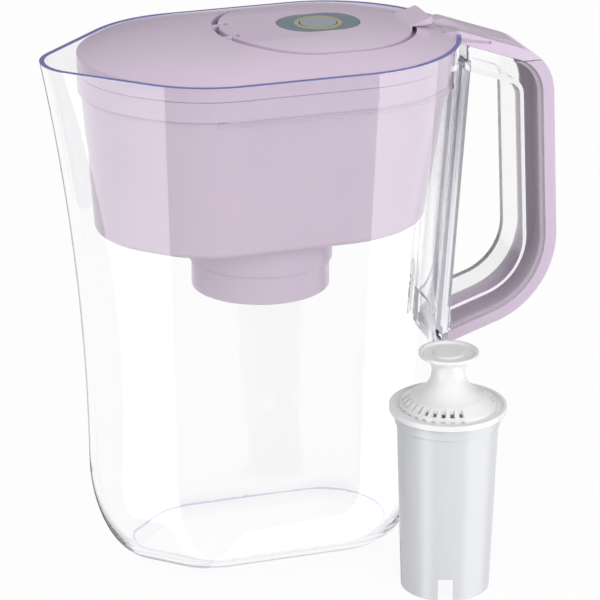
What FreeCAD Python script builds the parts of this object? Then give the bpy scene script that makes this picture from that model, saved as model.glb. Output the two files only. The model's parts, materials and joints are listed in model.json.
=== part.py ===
import FreeCAD, Part
import math
import os
import re
import Sketcher
from FreeCAD import Placement, Rotation, Vector

# Water filter pitcher with its filter cartridge standing beside it. Millimetres and degrees.
# Origin on the table under the middle of the jug, +X to the handle, -X to the spout, +Z up.

SIZES = {
    # Clear jug: egg-shaped in plan, its nose sharpens towards the rim into the pouring spout
    "rim_height": 268.0,
    "rim_half_width": 66.4,
    "rim_rear": 106.1,
    "rim_nose": 24.0,
    "belly_height": 55.0,
    "belly_half_width": 55.8,
    "belly_rear": 91.5,
    "belly_nose": 36.0,
    "nose_swell": 12.0,
    "base_round": 27.0,
    "base_nose": 12.0,
    "shoulder_x": 24.75,
    "shoulder_inset": 6.4,
    "flank_angle": 44.0,
    "wall": 2.5,
    "floor_thickness": 3.0,
    # Ledge inside the jug that carries the hopper
    "ledge_drop": 18.0,
    "ledge_width": 1.8,
    "ledge_thickness": 3.0,
    "ledge_front": 36.0,
    "ledge_root": 0.4,
    # Handle: one outer line with concentric layers, cover outside and clear channel inside
    "handle_half_width": 16.0,
    "grip_reach": 51.5,
    "grip_drop": 78.0,
    "grip_lean": 2.6,
    "grip_rise": 43.6,
    "grip_fall": 32.2,
    "handle_top_radius": 26.5,
    "handle_low_radius": 46.7,
    "tail_slope": 19.7,
    "tail_rise": 1.6,
    "foot_slope": 18.0,
    "cover_depth": 6.0,
    "cover_wall": 2.2,
    "cover_skirt": 2.0,
    "frame_depth": 12.5,
    "frame_wall": 2.5,
    "strip_thickness": 3.0,
    "seat_low_drop": 162.0,
    "seat_high_drop": 14.0,
    "seat_rise": 1.5,
    "rail_depth": 2.6,
    "rail_thickness": 2.2,
    "rail_root": 6.0,
    "seam_drop": 17.4,
    "fit_gap": 0.2,
    "seam_gap": 0.4,
    "foot_gap": 2.2,
    # Lilac hopper with the filter sleeve under its floor
    "hopper_depth": 72.0,
    "hopper_side_gap": 3.9,
    "hopper_rear_gap": 8.8,
    "hopper_low_nose_inset": 7.5,
    "hopper_nose_inset": 5.7,
    "hopper_wall": 2.0,
    "hopper_round": 3.0,
    "hopper_seat": 0.3,
    "hopper_gap": 0.5,
    "sleeve_x": 3.75,
    "sleeve_length": 34.6,
    "sleeve_step_rise": 14.6,
    "sleeve_radius": 34.85,
    "sleeve_upper_radius": 36.3,
    "sleeve_wall": 2.2,
    "collar_thickness": 2.6,
    "socket_radius": 27.2,
    # Lid: crowned cap inside the rim with a refill opening
    "lid_gap": 1.0,
    "lid_nose_inset": 5.4,
    "lid_wall": 2.2,
    "skirt_depth": 7.7,
    "crown_rise": 8.5,
    "crown_x": 12.0,
    "notch_gap": 0.6,
    "notch_drop": 12.0,
    "notch_depth": 20.0,
    "trough_radius": 15.0,
    "trough_depth": 2.8,
    "trough_inset": 12.1,
    "trough_length": 60.0,
    "trough_run_out": 3.5,
    "tail_groove_start": 1.5,
    "tail_groove_length": 16.0,
    "tail_groove_drop": 4.2,
    "tail_groove_height": 1.2,
    "tail_groove_depth": 0.9,
    # Refill flap: shallow tray that follows the crown of the lid
    "flap_setback": 73.1,
    "flap_half_length": 48.5,
    "flap_half_width": 43.5,
    "flap_end_gap": 2.4,
    "flap_side_gap": 1.0,
    "flap_skin": 2.2,
    "flap_rim": 1.8,
    "flap_proud": 0.3,
    "seat_lift": 1.3,
    "seat_thickness": 2.0,
    "seat_width": 4.0,
    "seat_gap": 0.2,
    "hinge_setback": 3.0,
    "hinge_relief": 0.8,
    "hinge_depth": 1.3,
    "pin_radius": 0.8,
    "pin_clearance": 0.05,
    "ear_inner": 9.0,
    "ear_outer": 12.0,
    "ear_gap": 0.3,
    "ear_reach": 1.9,
    "ear_drop": 1.8,
    "well_half_width": 20.0,
    "well_length": 12.0,
    "tab_half_width": 11.5,
    "tab_crest": 0.3,
    "tab_reach": 9.0,
    "tab_root": 6.0,
    "tab_lift": 0.6,
    # Filter-change indicator in the middle of the flap
    "plate_offset": 1.5,
    "plate_half_length": 21.0,
    "plate_half_width": 16.0,
    "plate_thickness": 2.0,
    "plate_sink": 0.5,
    "plate_gap": 0.2,
    "plate_ledge": 1.8,
    "boss_margin": 2.0,
    "boss_depth": 4.4,
    "ring_radius": 12.0,
    "ring_width": 2.4,
    "button_gap": 0.4,
    "button_travel": 0.6,
    "button_rise": 0.3,
    "pod_wall": 1.4,
    "pod_depth": 11.0,
    "pod_flange": 1.2,
    "board_gap": 0.4,
    "board_thickness": 1.2,
    "board_drop": 4.0,
    "dome_radius": 4.0,
    "led_size": 2.0,
    "led_height": 1.1,
    "chip_size": 5.0,
    "chip_height": 1.2,
    "cell_radius": 10.0,
    "cell_height": 3.2,
    "clip_thickness": 0.5,
    "gasket_thickness": 0.8,
    "back_thickness": 1.4,
    # Filter cartridge, standing on the table beside the jug
    "cartridge_x": 75.5,
    "cartridge_y": 81.5,
    "cup_height": 94.0,
    "cup_top_radius": 25.6,
    "cup_low_radius": 22.3,
    "collar_radius": 26.3,
    "collar_height": 5.0,
    "cup_wall": 1.6,
    "cup_floor": 13.0,
    "cup_floor_thickness": 2.0,
    "foot_notch_width": 7.7,
    "foot_notch_height": 12.0,
    "outlet_radius": 1.4,
    "outlet_circle": 12.0,
    "flange_radius": 29.2,
    "flange_thickness": 3.0,
    "flange_lip": 1.5,
    "flange_groove": 0.9,
    "seal_thickness": 1.2,
    "seal_radius": 25.8,
    "plug_depth": 5.0,
    "plug_wall": 1.8,
    "dome_radius_low": 23.8,
    "dome_step": 1.1,
    "dome_radius_top": 18.6,
    "dome_rise": 5.0,
    "ceiling_rise": 6.5,
    "neck_radius": 8.4,
    "neck_rise": 18.3,
    "knob_radius": 14.9,
    "knob_rise": 26.4,
    "knob_lip": 1.3,
    "knob_rim": 1.7,
    "knob_dish": 1.3,
    "knob_button": 7.2,
    "cap_wall": 1.8,
    "slot_width": 2.2,
    "slot_inner": 19.1,
    "slot_outer": 22.8,
    "vent_inner": 22.6,
    "vent_width": 2.0,
    "vent_height": 0.9,
    "screen_thickness": 0.8,
    "media_gap": 0.3,
}

# Levels of the lid's crown, as shares of its edge outline
CROWN_SHARES = (1.0, 0.93, 0.8, 0.6, 0.35)
# Share of the edge outline at which the thumb tab passes over the crown
TAB_SHARE = 0.8
# Angles round a rounded foot, and shares of the jug's height above it
FOOT_ANGLES = (0.0, 22.5, 45.0, 67.5, 90.0)
WALL_SHARES = (0.0, 1.0 / 3.0, 2.0 / 3.0, 1.0)
# Two opposite groups of inlet slots in the cartridge cap: count, spread and direction of the first slot
SLOTS_PER_GROUP = 10
SLOT_GROUPS = 2
SLOT_GROUP_ANGLE = 106.0
SLOT_GROUP_START = 161.0
# Notches in the standing skirt of the cartridge, and direction of the first one
FOOT_NOTCHES = 3
FOOT_NOTCH_TURN = -20.0
OUTLETS = 8
LEDS = 3

# Levels and places that follow from the sizes
LEVELS = {
    "side_draft": "((rim_half_width - belly_half_width) / (rim_height - belly_height))",
    "rear_draft": "((rim_rear - belly_rear) / (rim_height - belly_height))",
    "ledge_height": "(rim_height - ledge_drop)",
    "hopper_rim": "(rim_height - skirt_depth - hopper_seat)",
    "hopper_floor": "(ledge_height - hopper_depth)",
    "hopper_half_width": "(belly_half_width + side_draft * (ledge_height - belly_height) - hopper_inset)",
    "hopper_rear": "(belly_rear + rear_draft * (ledge_height - belly_height) - hopper_inset)",
    "hopper_inset": "(wall + ledge_width + hopper_gap)",
    "hopper_nose": "(hopper_half_width - hopper_nose_inset)",
    "hopper_low_half_width":
        "(belly_half_width + side_draft * (hopper_floor - belly_height) - wall - hopper_side_gap)",
    "hopper_low_rear": "(belly_rear + rear_draft * (hopper_floor - belly_height) - wall - hopper_rear_gap)",
    "hopper_low_nose": "(hopper_low_half_width - hopper_low_nose_inset)",
    "sleeve_bottom": "(hopper_floor - sleeve_length)",
    "sleeve_step": "(sleeve_bottom + sleeve_step_rise)",
    "lid_half_width": "(rim_half_width - wall - lid_gap)",
    "lid_rear": "(rim_rear - wall - lid_gap)",
    "lid_nose": "(lid_half_width - lid_nose_inset)",
    "notch_floor": "(rim_height - notch_drop)",
    "seat_low": "(rim_height - seat_low_drop)",
    "seat_high": "(rim_height - seat_high_drop)",
    "seam_height": "(rim_height - seam_drop)",
    "grip_height": "(rim_height - grip_drop)",
    "handle_reach": "(rim_rear + grip_reach)",
    "top_arc_x": "(handle_reach - grip_rise * sin(grip_lean) - handle_top_radius * cos(grip_lean))",
    "top_arc_z": "(grip_height + grip_rise * cos(grip_lean) - handle_top_radius * sin(grip_lean))",
    "low_arc_x": "(handle_reach + grip_fall * sin(grip_lean) - handle_low_radius * cos(grip_lean))",
    "low_arc_z": "(grip_height - grip_fall * cos(grip_lean) - handle_low_radius * sin(grip_lean))",
    "tail_root": "(lid_rear - 3 * lid_wall)",
    "tail_top": "(rim_height + tail_rise)",
    "trough_start": "(rim_rear - trough_inset)",
    "flap_x": "(rim_rear - flap_setback)",
    "seat_height": "(rim_height + seat_lift)",
    "tab_ridge": "(rim_height + crown_rise + tab_crest)",
    "plate_x": "(flap_x + plate_offset)",
    "plate_top": "(rim_height + crown_rise - plate_sink)",
}

doc = FreeCAD.newDocument("WaterFilterPitcher")
dims = doc.addObject("Spreadsheet::Sheet", "dims")
for row, (alias, size) in enumerate(SIZES.items(), start=1):
    dims.set("A%d" % row, alias)
    dims.set("B%d" % row, str(size))
    dims.setAlias("B%d" % row, alias)
doc.recompute()


def expression(text):
    """Turn plain names of dimensions and levels into references to the sheet."""
    def reference(match):
        name = match.group()
        if name in LEVELS:
            return expression(LEVELS[name])
        return "dims." + name if name in SIZES else name
    return re.sub(r"[a-z_]+", reference, str(text))


def value(text):
    """The present value of an expression in plain dimension names."""
    result = dims.evalExpression(expression(text))
    return float(getattr(result, "Value", result))


def new_body(label):
    body = doc.addObject("PartDesign::Body", label)
    body.Label = label
    return body


def sketch_on(body, name, plane="XY_Plane", offset="0", rise="0", tilt=None, turn=None):
    """A sketch on one of the body's origin planes, moved along its normal or up it, tilted or turned."""
    sketch = body.newObject("Sketcher::SketchObject", body.Label + "_" + name)
    support = [feature for feature in body.Origin.OriginFeatures if feature.Role == plane][0]
    sketch.AttachmentSupport = [(support, "")]
    sketch.MapMode = "FlatFace"
    if tilt:
        sketch.AttachmentOffset = Placement(Vector(), Rotation(Vector(1, 0, 0), value(tilt)))
        sketch.setExpression("AttachmentOffset.Rotation.Angle", expression(tilt))
    if turn:
        sketch.AttachmentOffset = Placement(Vector(), turn)
    sketch.setExpression("AttachmentOffset.Base.y", expression(rise))
    sketch.setExpression("AttachmentOffset.Base.z", expression(offset))
    return sketch


def constrain(sketch, text, kind, *where):
    """Add a constraint whose value follows an expression; angles start from their value in radians."""
    amount = math.radians(value(text)) if kind == "Angle" else value(text)
    index = sketch.addConstraint(Sketcher.Constraint(kind, *where, amount))
    sketch.setExpression("Constraints[%d]" % index, expression(text))


def place_point(sketch, geometry, point, x, y):
    constrain(sketch, x, "DistanceX", -1, 1, geometry, point)
    constrain(sketch, y, "DistanceY", -1, 1, geometry, point)


def polygon(sketch, corners):
    """A closed outline of straight edges through corners given as expressions."""
    places = [Vector(value(x), value(y), 0) for x, y in corners]
    first = sketch.GeometryCount
    count = len(corners)
    for i in range(count):
        sketch.addGeometry(Part.LineSegment(places[i], places[(i + 1) % count]), False)
    for i in range(count):
        following = first + (i + 1) % count
        sketch.addConstraint(Sketcher.Constraint("Coincident", first + i, 2, following, 1))
    for i, (x, y) in enumerate(corners):
        place_point(sketch, first + i, 1, x, y)


def rectangle(sketch, x_low, x_high, y_low, y_high):
    polygon(sketch, [(x_low, y_low), (x_high, y_low), (x_high, y_high), (x_low, y_high)])


def circle(sketch, x, y, radius):
    centre = Vector(value(x), value(y), 0)
    index = sketch.addGeometry(Part.Circle(centre, Vector(0, 0, 1), value(radius)), False)
    constrain(sketch, radius, "Radius", index)
    place_point(sketch, index, 3, x, y)


def arc(centre, radius, start, end):
    """A circular arc between two angles in degrees, counter-clockwise."""
    whole = Part.Circle(centre, Vector(0, 0, 1), radius)
    return Part.ArcOfCircle(whole, math.radians(start), math.radians(end))


def join_smoothly(sketch, joints):
    for one, one_end, other, other_end in joints:
        sketch.addConstraint(Sketcher.Constraint("Tangent", one, one_end, other, other_end))


def oval(sketch, half_width, rear, nose, shoulder_x="shoulder_x", inset="shoulder_inset"):
    """Egg outline: round rear, straight sides, shoulders, slanted flanks and a nose arc at -X."""
    wide = value(half_width)
    tip = value(nose)
    shoulder = wide - value(inset)
    angle = value("flank_angle")
    sine = math.sin(math.radians(angle))
    cosine = math.cos(math.radians(angle))
    rear_x = value(rear) - wide
    shoulder_place = -value(shoulder_x)
    nose_x = shoulder_place - ((wide - shoulder) * cosine + shoulder - tip) / sine
    outward = Vector(-sine, cosine, 0)
    mirrored = Vector(-sine, -cosine, 0)
    upper = Vector(shoulder_place, wide - shoulder, 0)
    lower = Vector(shoulder_place, shoulder - wide, 0)
    nose_centre = Vector(nose_x, 0, 0)
    first = sketch.GeometryCount
    rear_arc, upper_side, upper_shoulder, upper_flank = range(first, first + 4)
    nose_arc, lower_flank, lower_shoulder, lower_side = range(first + 4, first + 8)
    sketch.addGeometry(arc(Vector(rear_x, 0, 0), wide, -90, 90), False)
    sketch.addGeometry(Part.LineSegment(Vector(rear_x, wide, 0), Vector(shoulder_place, wide, 0)), False)
    sketch.addGeometry(arc(upper, shoulder, 90, 90 + angle), False)
    sketch.addGeometry(Part.LineSegment(nose_centre + outward * tip, upper + outward * shoulder), False)
    sketch.addGeometry(arc(nose_centre, tip, 90 + angle, 270 - angle), False)
    sketch.addGeometry(Part.LineSegment(nose_centre + mirrored * tip, lower + mirrored * shoulder), False)
    sketch.addGeometry(arc(lower, shoulder, 270 - angle, 270), False)
    sketch.addGeometry(Part.LineSegment(Vector(shoulder_place, -wide, 0), Vector(rear_x, -wide, 0)), False)
    join_smoothly(sketch, [
        (rear_arc, 2, upper_side, 1), (upper_side, 2, upper_shoulder, 1),
        (upper_shoulder, 2, upper_flank, 2), (upper_flank, 1, nose_arc, 1),
        (nose_arc, 2, lower_flank, 1), (lower_flank, 2, lower_shoulder, 1),
        (lower_shoulder, 2, lower_side, 1), (lower_side, 2, rear_arc, 1)])
    sketch.addConstraint(Sketcher.Constraint("PointOnObject", rear_arc, 3, -1))
    sketch.addConstraint(Sketcher.Constraint("PointOnObject", nose_arc, 3, -1))
    sketch.addConstraint(Sketcher.Constraint("Horizontal", upper_side))
    sketch.addConstraint(Sketcher.Constraint("Horizontal", lower_side))
    sketch.addConstraint(Sketcher.Constraint("Equal", upper_shoulder, lower_shoulder))
    sketch.addConstraint(Sketcher.Constraint("Equal", upper_flank, lower_flank))
    constrain(sketch, half_width, "Radius", rear_arc)
    constrain(sketch, "%s - (%s)" % (rear, half_width), "DistanceX", -1, 1, rear_arc, 3)
    constrain(sketch, shoulder_x, "DistanceX", upper_shoulder, 3, -1, 1)
    constrain(sketch, "%s - (%s)" % (half_width, inset), "Radius", upper_shoulder)
    constrain(sketch, nose, "Radius", nose_arc)
    constrain(sketch, "flank_angle", "Angle", upper_flank)


def slot(sketch, centre_x, half_length, half_width):
    """Two half circles joined by straight sides, long along X."""
    wide = value(half_width)
    middle = value(centre_x)
    reach = value(half_length) - wide
    left = middle - reach
    right = middle + reach
    first = sketch.GeometryCount
    right_arc, top_side, left_arc, low_side = range(first, first + 4)
    sketch.addGeometry(arc(Vector(right, 0, 0), wide, -90, 90), False)
    sketch.addGeometry(Part.LineSegment(Vector(right, wide, 0), Vector(left, wide, 0)), False)
    sketch.addGeometry(arc(Vector(left, 0, 0), wide, 90, 270), False)
    sketch.addGeometry(Part.LineSegment(Vector(left, -wide, 0), Vector(right, -wide, 0)), False)
    join_smoothly(sketch, [
        (right_arc, 2, top_side, 1), (top_side, 2, left_arc, 1),
        (left_arc, 2, low_side, 1), (low_side, 2, right_arc, 1)])
    sketch.addConstraint(Sketcher.Constraint("PointOnObject", right_arc, 3, -1))
    sketch.addConstraint(Sketcher.Constraint("PointOnObject", left_arc, 3, -1))
    sketch.addConstraint(Sketcher.Constraint("Horizontal", top_side))
    constrain(sketch, half_width, "Radius", right_arc)
    reach_text = "((%s) - (%s))" % (half_length, half_width)
    constrain(sketch, "%s + %s" % (centre_x, reach_text), "DistanceX", -1, 1, right_arc, 3)
    constrain(sketch, "%s - %s" % (centre_x, reach_text), "DistanceX", -1, 1, left_arc, 3)


def pad(body, name, sketch, length, symmetric=False):
    feature = body.newObject("PartDesign::Pad", body.Label + "_" + name)
    feature.Profile = sketch
    feature.setExpression("Length", expression(length))
    if symmetric:
        feature.SideType = "Symmetric"
    doc.recompute()
    return feature


def pocket(body, name, sketch, length, symmetric=False, upwards=False):
    """Cut below the sketch, above it or to both sides, and make sure that something was cut."""
    before = body.Shape.Volume
    feature = body.newObject("PartDesign::Pocket", body.Label + "_" + name)
    feature.Profile = sketch
    feature.setExpression("Length", expression(length))
    if symmetric:
        feature.SideType = "Symmetric"
    feature.Reversed = upwards
    doc.recompute()
    if body.Shape.Volume >= before:
        raise ValueError(body.Label + ": " + name + " cut nothing")
    return feature


def loft(body, name, sketches, kind="PartDesign::AdditiveLoft", ruled=False):
    feature = body.newObject(kind, body.Label + "_" + name)
    feature.Profile = sketches[0]
    feature.Sections = sketches[1:]
    feature.Ruled = ruled
    doc.recompute()
    return feature


def revolve(body, name, sketch):
    """Turn a profile in the XZ plane once round the body's own Z axis."""
    feature = body.newObject("PartDesign::Revolution", body.Label + "_" + name)
    feature.Profile = sketch
    axis = [item for item in body.Origin.OriginFeatures if item.Role == "Z_Axis"][0]
    feature.ReferenceAxis = (axis, [""])
    feature.Angle = 360
    doc.recompute()
    return feature


def polar(body, name, originals, count, angle=360.0):
    feature = body.newObject("PartDesign::PolarPattern", body.Label + "_" + name)
    feature.Originals = originals
    axis = [item for item in body.Origin.OriginFeatures if item.Role == "Z_Axis"][0]
    feature.Axis = (axis, [""])
    feature.Angle = angle
    feature.Occurrences = count
    body.Tip = feature
    doc.recompute()
    return feature


def boolean(kind, label, base, tool):
    feature = doc.addObject(kind, label)
    feature.Label = label
    feature.Base = base
    feature.Tool = tool
    doc.recompute()
    return feature


# Half width and rear of the jug's drafted wall, as expressions of the height

def half_width_at(height):
    return "(belly_half_width + side_draft * (%s - belly_height))" % height


def rear_at(height):
    return "(belly_rear + rear_draft * (%s - belly_height))" % height


def rounded_foot(body, prefix, kind, low, high, pull, half_width, rear, nose, low_nose):
    """A foot rounded by a quarter ellipse: pull is how far its outline draws in from high down to low."""
    sections = []
    for number, angle in enumerate(FOOT_ANGLES):
        drawn = "(%s) * (1 - sin(%s))" % (pull, angle)
        height = "%s + ((%s) - (%s)) * (1 - cos(%s))" % (low, high, low, angle)
        tip = "%s - ((%s) - (%s)) * (1 - sin(%s))" % (nose, nose, low_nose, angle)
        sketch = sketch_on(body, "%s_foot_%d" % (prefix, number), offset=height)
        oval(sketch, "%s - %s" % (half_width, drawn), "%s - %s" % (rear, drawn), tip)
        sections.append(sketch)
    loft(body, prefix + "_foot", sections, kind)


def jug_form(body, prefix, inset, floor, kind):
    """The jug's form, or its hollow: a rounded foot and the drafted wall whose nose grows into the spout."""
    rounded_foot(body, prefix, kind, floor, "belly_height", "base_round", "belly_half_width - " + inset,
                 "belly_rear - " + inset, "belly_nose - " + inset, "base_nose - " + inset)
    sections = []
    for number, share in enumerate(WALL_SHARES):
        height = "(belly_height + %s * (rim_height - belly_height))" % share
        nose = "belly_nose * (1 - {0}) + rim_nose * {0} + 4 * nose_swell * {0} * (1 - {0}) - {1}".format(
            share, inset)
        sketch = sketch_on(body, "%s_wall_%d" % (prefix, number), offset=height)
        oval(sketch, "%s - %s" % (half_width_at(height), inset), "%s - %s" % (rear_at(height), inset), nose)
        sections.append(sketch)
    loft(body, prefix + "_wall", sections, kind)


def seat_face(height, beyond):
    """Distance of the handle's seat, or of something beyond it, from the jug's axis at a height."""
    return "%s + seat_rise + %s" % (rear_at(height), beyond)


def seat_block(body, name, low_x, high_x, half_width, feature):
    """A slab that follows the slant of the rear wall between the ends of the handle seat."""
    sketch = sketch_on(body, name, "XZ_Plane")
    polygon(sketch, [
        (seat_face("seat_low", low_x), "seat_low"), (seat_face("seat_low", high_x), "seat_low"),
        (seat_face("seat_high", high_x), "seat_high"), (seat_face("seat_high", low_x), "seat_high")])
    return feature(body, name + "_slab", sketch, "2 * (%s)" % half_width, symmetric=True)


def make_pitcher_body():
    body = new_body("pitcher_body")
    jug_form(body, "outer", "0", "0", "PartDesign::AdditiveLoft")
    rail_side = "handle_half_width + fit_gap + rail_thickness"
    seat_block(body, "rails", "-(seat_rise + rail_root)", "rail_depth", rail_side, pad)
    seat_block(body, "strip_bed", "0", "rail_depth + wall", "handle_half_width + fit_gap", pocket)
    jug_form(body, "inner", "wall", "floor_thickness", "PartDesign::SubtractiveLoft")
    make_hopper_ledge(body)
    notch = sketch_on(body, "notch", "XZ_Plane")
    rectangle(notch, "rim_rear - notch_depth", "rim_rear + wall", "notch_floor", "rim_height + wall")
    pocket(body, "rim_notch", notch, "2 * (handle_half_width + notch_gap)", symmetric=True)
    return body


def make_hopper_ledge(body):
    """U-shaped ledge round the sides and rear, running out into the wall at its front ends."""
    outer = "(%s - wall + ledge_root)" % half_width_at("ledge_height")
    inner = "(%s - wall - ledge_width)" % half_width_at("ledge_height")
    middle = "(%s - %s)" % (rear_at("ledge_height"), half_width_at("ledge_height"))
    sketch = sketch_on(body, "ledge", offset="ledge_height - ledge_thickness")
    centre = Vector(value(middle), 0, 0)
    front = -value("ledge_front")
    wide = value(outer)
    narrow = value(inner)
    sketch.addGeometry(arc(centre, wide, -90, 90), False)
    sketch.addGeometry(Part.LineSegment(Vector(centre.x, wide, 0), Vector(front, wide, 0)), False)
    sketch.addGeometry(Part.LineSegment(Vector(front, wide, 0), Vector(front, narrow, 0)), False)
    sketch.addGeometry(Part.LineSegment(Vector(front, narrow, 0), Vector(centre.x, narrow, 0)), False)
    sketch.addGeometry(arc(centre, narrow, -90, 90), False)
    sketch.addGeometry(Part.LineSegment(Vector(centre.x, -narrow, 0), Vector(front, -narrow, 0)), False)
    sketch.addGeometry(Part.LineSegment(Vector(front, -narrow, 0), Vector(front, -wide, 0)), False)
    sketch.addGeometry(Part.LineSegment(Vector(front, -wide, 0), Vector(centre.x, -wide, 0)), False)
    join_smoothly(sketch, [(0, 2, 1, 1), (7, 2, 0, 1), (3, 2, 4, 2), (4, 1, 5, 1)])
    for one, other in ((1, 2), (2, 3), (5, 6), (6, 7)):
        sketch.addConstraint(Sketcher.Constraint("Coincident", one, 2, other, 1))
    sketch.addConstraint(Sketcher.Constraint("Coincident", 0, 3, 4, 3))
    for line in (1, 3, 5):
        sketch.addConstraint(Sketcher.Constraint("Horizontal", line))
    for line in (2, 6):
        sketch.addConstraint(Sketcher.Constraint("Vertical", line))
    sketch.addConstraint(Sketcher.Constraint("PointOnObject", 0, 3, -1))
    constrain(sketch, middle, "DistanceX", -1, 1, 0, 3)
    constrain(sketch, outer, "Radius", 0)
    constrain(sketch, inner, "Radius", 4)
    constrain(sketch, "ledge_front", "DistanceX", 2, 1, -1, 1)
    constrain(sketch, "ledge_front", "DistanceX", 6, 1, -1, 1)
    pad(body, "ledge_band", sketch, "ledge_thickness")


def band(sketch, outer, inner, top_end, low_end):
    """A layer of the handle between two depths below its outer line, from top_end to low_end along X.

    The sketch is turned a quarter turn, so its x is the height and its y points to the spout.
    """
    top_centre = Vector(value("top_arc_z"), -value("top_arc_x"), 0)
    low_centre = Vector(value("low_arc_z"), -value("low_arc_x"), 0)
    tail = value("tail_slope")
    foot = value("foot_slope")
    grip = 270 + value("grip_lean")
    first = sketch.GeometryCount
    for depth in (value(outer), value(inner)):
        top_arc = arc(top_centre, value("handle_top_radius") - depth, grip, 360 - tail)
        low_arc = arc(low_centre, value("handle_low_radius") - depth, 180 + foot, grip)
        top_run = -value(top_end) - top_arc.EndPoint.y
        low_run = -value(low_end) - low_arc.StartPoint.y
        top_start = top_arc.EndPoint + Vector(top_run * math.tan(math.radians(tail)), top_run, 0)
        low_start = low_arc.StartPoint + Vector(-low_run * math.tan(math.radians(foot)), low_run, 0)
        sketch.addGeometry(Part.LineSegment(top_arc.EndPoint, top_start), False)
        sketch.addGeometry(top_arc, False)
        sketch.addGeometry(Part.LineSegment(low_arc.EndPoint, top_arc.StartPoint), False)
        sketch.addGeometry(low_arc, False)
        sketch.addGeometry(Part.LineSegment(low_arc.StartPoint, low_start), False)
    ends = [sketch.Geometry[first + i].EndPoint for i in (0, 5, 4, 9)]
    sketch.addGeometry(Part.LineSegment(ends[0], ends[1]), False)
    sketch.addGeometry(Part.LineSegment(ends[2], ends[3]), False)
    for start in (first, first + 5):
        join_smoothly(sketch, [
            (start, 1, start + 1, 2), (start + 1, 1, start + 2, 2),
            (start + 2, 1, start + 3, 2), (start + 3, 1, start + 4, 1)])
        constrain(sketch, "grip_lean", "Angle", start + 2)
        constrain(sketch, "90 - tail_slope", "Angle", start)
        constrain(sketch, "90 + foot_slope", "Angle", start + 4)
    for outer_arc in (first + 1, first + 3):
        sketch.addConstraint(Sketcher.Constraint("Coincident", outer_arc, 3, outer_arc + 5, 3))
    for cap, one, other in ((10, 0, 5), (11, 4, 9)):
        sketch.addConstraint(Sketcher.Constraint("Coincident", first + cap, 1, first + one, 2))
        sketch.addConstraint(Sketcher.Constraint("Coincident", first + cap, 2, first + other, 2))
        sketch.addConstraint(Sketcher.Constraint("Horizontal", first + cap))
    place_point(sketch, first + 1, 3, "top_arc_z", "-top_arc_x")
    place_point(sketch, first + 3, 3, "low_arc_z", "-low_arc_x")
    constrain(sketch, "handle_top_radius - (%s)" % outer, "Radius", first + 1)
    constrain(sketch, "handle_top_radius - (%s)" % inner, "Radius", first + 6)
    constrain(sketch, top_end, "DistanceY", first, 2, -1, 1)
    constrain(sketch, low_end, "DistanceY", first + 4, 2, -1, 1)


def layer(body, name, outer, inner, top_end, low_end, half_width, feature):
    sketch = sketch_on(body, name, "XZ_Plane", turn=Rotation(Vector(0, 0, 1), 90))
    band(sketch, outer, inner, top_end, low_end)
    return feature(body, name + "_layer", sketch, "2 * (%s)" % half_width, symmetric=True)


# The handle's layers start just inside the strip that seats on the jug
STRIP_TOP = seat_face("seat_high", "strip_thickness / 2")
STRIP_LOW = seat_face("seat_low", "strip_thickness / 2")
CHANNEL_TOP = seat_face("seat_high", "strip_thickness")
CHANNEL_LOW = seat_face("seat_low", "strip_thickness + frame_wall")


def make_handle_frame():
    """Clear D-shaped loop: a strip between the jug's rails and a U-channel open to the outside."""
    body = new_body("handle_frame")
    outer = "cover_depth + fit_gap"
    inner = "cover_depth + frame_depth"
    layer(body, "loop", outer, inner, STRIP_TOP, STRIP_LOW, "handle_half_width", pad)
    seat_block(body, "strip", "0", "strip_thickness", "handle_half_width", pad)
    layer(body, "channel", "cover_depth - wall", "cover_depth + frame_depth - frame_wall",
          CHANNEL_TOP, CHANNEL_LOW, "handle_half_width - frame_wall", pocket)
    layer(body, "cover_bed", "-wall", outer, rear_at("seat_high"), "%s - wall" % rear_at("seat_low"),
          "handle_half_width + wall", pocket)
    return body


def make_handle_cover():
    """Lilac outer shell of the grip, with a low inner skirt that plugs into the clear channel."""
    body = new_body("handle_cover")
    low_end = "%s + foot_gap" % rear_at("seat_low")
    skirt_low = "%s + fit_gap" % CHANNEL_LOW
    skirt_half_width = "handle_half_width - frame_wall - fit_gap"
    layer(body, "shell", "0", "cover_depth", CHANNEL_TOP, low_end, "handle_half_width", pad)
    layer(body, "skirt", "cover_wall", "cover_depth + cover_skirt", CHANNEL_TOP, skirt_low,
          skirt_half_width, pad)
    layer(body, "hollow", "cover_wall", "cover_depth + cover_skirt + wall", CHANNEL_TOP,
          "%s + cover_wall" % skirt_low, "%s - cover_wall" % skirt_half_width, pocket)
    seam = sketch_on(body, "seam", "XZ_Plane")
    rectangle(seam, "rim_rear - wall", "handle_reach + wall", "seam_height - seam_gap",
              "rim_height + 2 * crown_rise")
    pocket(body, "seam_cut", seam, "3 * handle_half_width", symmetric=True)
    return body


def hopper_form(body, prefix, inset, floor, kind):
    """The hopper's form up to the ledge, or its hollow."""
    foot_top = "(hopper_floor + hopper_round)"
    rounded_foot(body, prefix, kind, floor, foot_top, "hopper_round - " + inset,
                 "hopper_low_half_width - " + inset, "hopper_low_rear - " + inset,
                 "hopper_low_nose - " + inset, "hopper_low_nose - hopper_round")
    sections = []
    for name, height, wide, rear, nose in (
            ("low", foot_top, "hopper_low_half_width", "hopper_low_rear", "hopper_low_nose"),
            ("top", "ledge_height", "hopper_half_width", "hopper_rear", "hopper_nose")):
        sketch = sketch_on(body, "%s_%s" % (prefix, name), offset=height)
        oval(sketch, "%s - %s" % (wide, inset), "%s - %s" % (rear, inset), "%s - %s" % (nose, inset))
        sections.append(sketch)
    loft(body, prefix + "_wall", sections, kind, ruled=True)


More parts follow.
